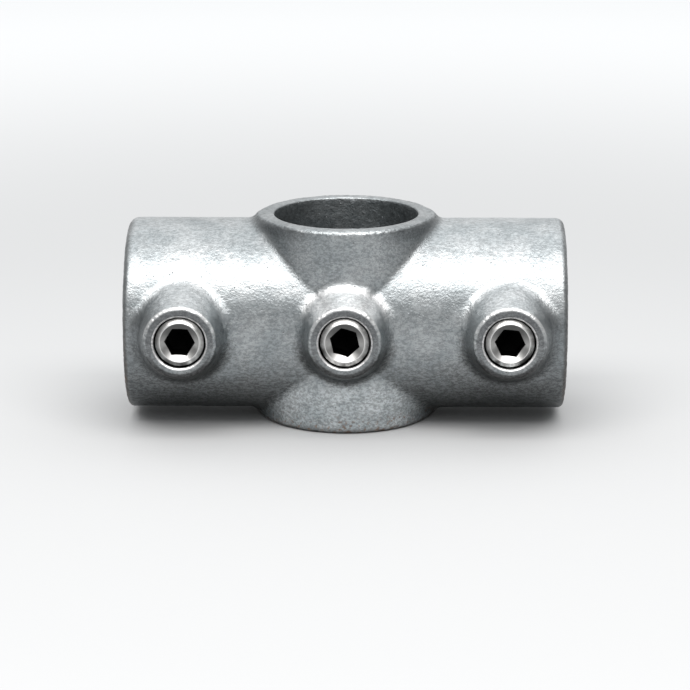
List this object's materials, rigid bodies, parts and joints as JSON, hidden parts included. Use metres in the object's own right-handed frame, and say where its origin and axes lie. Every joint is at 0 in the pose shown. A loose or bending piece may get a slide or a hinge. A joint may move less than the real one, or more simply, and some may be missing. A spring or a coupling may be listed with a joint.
{
  "type": "tube clamp connector",
  "caption": "Cast cross fitting that joins round tubes at right angles: a through bore, a blind socket on each side, and hex socket set screws in front bosses that clamp the tubes.",
  "frame": {"origin": "where the axis of the through bore crosses the common axis of the two sockets", "axes": "+Z along the through bore, +X along the sockets, the set screws face -Y"},
  "size_m": [0.1504, 0.0763, 0.0708],
  "materials": {
    "galvanised_casting": "hot-dip galvanised malleable iron, matt to satin, as cast",
    "screw_steel": "turned steel, bright"
  },
  "bodies": {
    "casting": {"cast_body": "galvanised_casting"},
    "screw_left": {"set_screw_left": "screw_steel"},
    "screw_middle": {"set_screw_middle": "screw_steel"},
    "screw_right": {"set_screw_right": "screw_steel"}
  },
  "joints": [
    {"name": "screw_left_travel", "type": "slide", "parent": "casting", "child": "screw_left", "axis": [0, 1, 0], "range_m": [-0.014, 0.002]},
    {"name": "screw_middle_travel", "type": "slide", "parent": "casting", "child": "screw_middle", "axis": [0, 1, 0], "range_m": [-0.014, 0.002]},
    {"name": "screw_right_travel", "type": "slide", "parent": "casting", "child": "screw_right", "axis": [0, 1, 0], "range_m": [-0.014, 0.002]}
  ]
}
